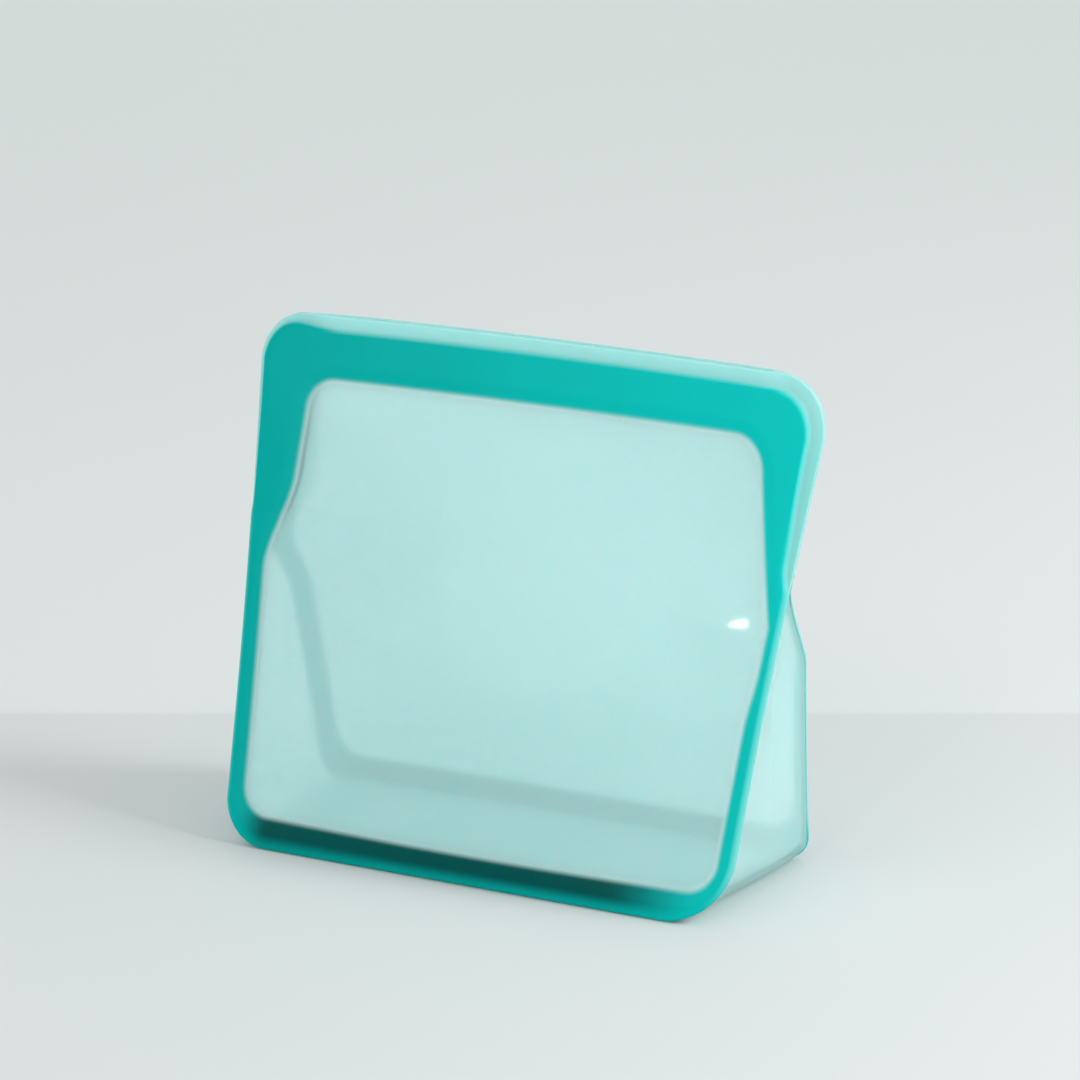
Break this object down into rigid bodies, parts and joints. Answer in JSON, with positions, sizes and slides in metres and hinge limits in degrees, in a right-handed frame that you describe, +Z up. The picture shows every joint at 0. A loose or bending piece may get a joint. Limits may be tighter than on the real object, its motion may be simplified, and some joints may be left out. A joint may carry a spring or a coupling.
{
  "type": "silicone storage bag",
  "caption": "Stand-up translucent silicone storage bag: thick bands round clear walls, flat base, side gussets and a pinch-lock mouth that opens.",
  "frame": {"origin": "on the floor under the middle of the bag's bounding box", "axes": "+Z up, the bag's front faces -Y, X runs across its width"},
  "size_m": [0.1938, 0.0691, 0.16],
  "materials": {
    "band": "satin translucent silicone, thick",
    "window": "frosted translucent silicone, thin",
    "gusset": "frosted translucent silicone, thin",
    "base": "satin translucent silicone",
    "lip": "satin translucent silicone, thin",
    "seal": "satin translucent silicone"
  },
  "bodies": {
    "pouch": {"base_panel": "base", "left_base_corner": "base", "right_base_corner": "base", "front_bottom_band": "band", "back_bottom_band": "band", "front_left_side_band": "band", "front_right_side_band": "band", "back_left_side_band": "band", "back_right_side_band": "band", "front_wall_lower": "window", "back_wall_lower": "window", "left_gusset_front_leaf": "gusset", "left_gusset_back_leaf": "gusset", "right_gusset_front_leaf": "gusset", "right_gusset_back_leaf": "gusset", "left_side_seam": "band", "right_side_seam": "band", "front_left_wall_shoulder": "window", "front_right_wall_shoulder": "window", "back_left_wall_shoulder": "window", "back_right_wall_shoulder": "window", "front_left_rim_end": "band", "front_right_rim_end": "band", "back_left_rim_end": "band", "back_right_rim_end": "band"},
    "front_flap": {"front_wall_upper": "window", "front_rim": "band", "front_lip": "lip", "seal_rib": "seal"},
    "back_flap": {"back_wall_upper": "window", "back_rim": "band", "back_lip": "lip", "channel_upper_rail": "seal", "channel_lower_rail": "seal"}
  },
  "joints": [
    {"name": "front_flap_swing", "type": "hinge", "parent": "pouch", "child": "front_flap", "pos_m": [0, -0.00963, 0.103], "axis": [1, 0, 0], "range_deg": [0, 20], "stiffness_Nm_per_rad": 0.05},
    {"name": "back_flap_swing", "type": "hinge", "parent": "pouch", "child": "back_flap", "pos_m": [0, 0.02599, 0.103], "axis": [-1, 0, 0], "range_deg": [0, 20], "stiffness_Nm_per_rad": 0.05}
  ]
}
